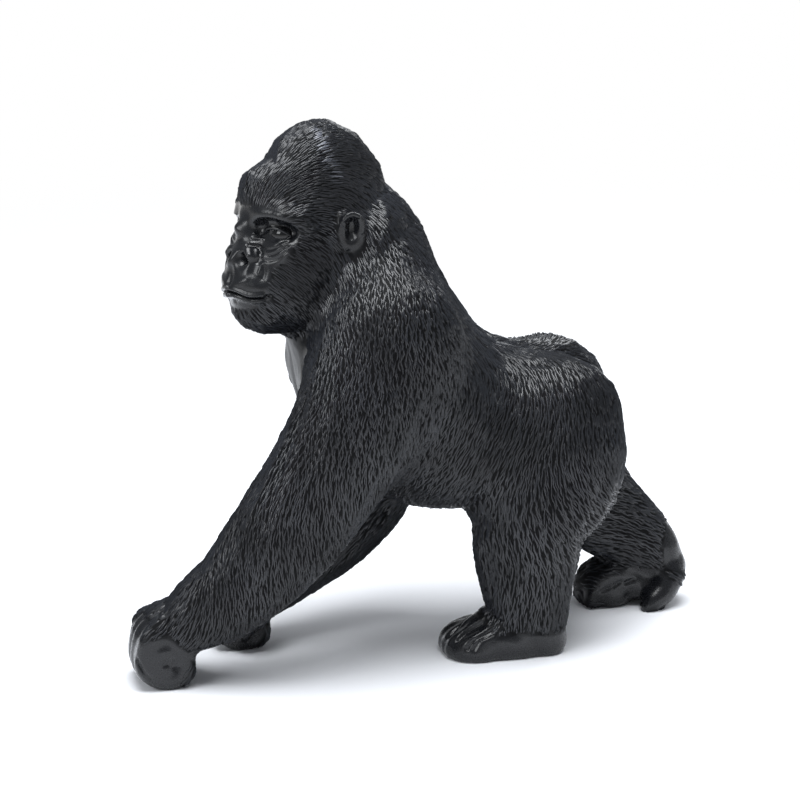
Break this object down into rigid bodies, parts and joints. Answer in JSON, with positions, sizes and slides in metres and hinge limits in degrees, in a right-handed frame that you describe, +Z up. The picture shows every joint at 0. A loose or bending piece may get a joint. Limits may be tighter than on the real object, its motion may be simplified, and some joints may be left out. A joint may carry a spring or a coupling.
{
  "type": "gorilla figurine",
  "caption": "Figurine of a gorilla walking on its knuckles, cast in one piece of black resin with carved fur.",
  "frame": {"origin": "centre of the figurine's footprint box, on the surface that it stands on", "axes": "-X is the way the gorilla walks, its right side faces +Y and its left side faces -Y, +Z is up"},
  "size_m": [0.2298, 0.1056, 0.2034],
  "materials": {
    "black_resin": "black cast resin, satin on the carved fur and glossier on the bare skin"
  },
  "bodies": {
    "root": {"gorilla": "black_resin"}
  },
  "joints": []
}
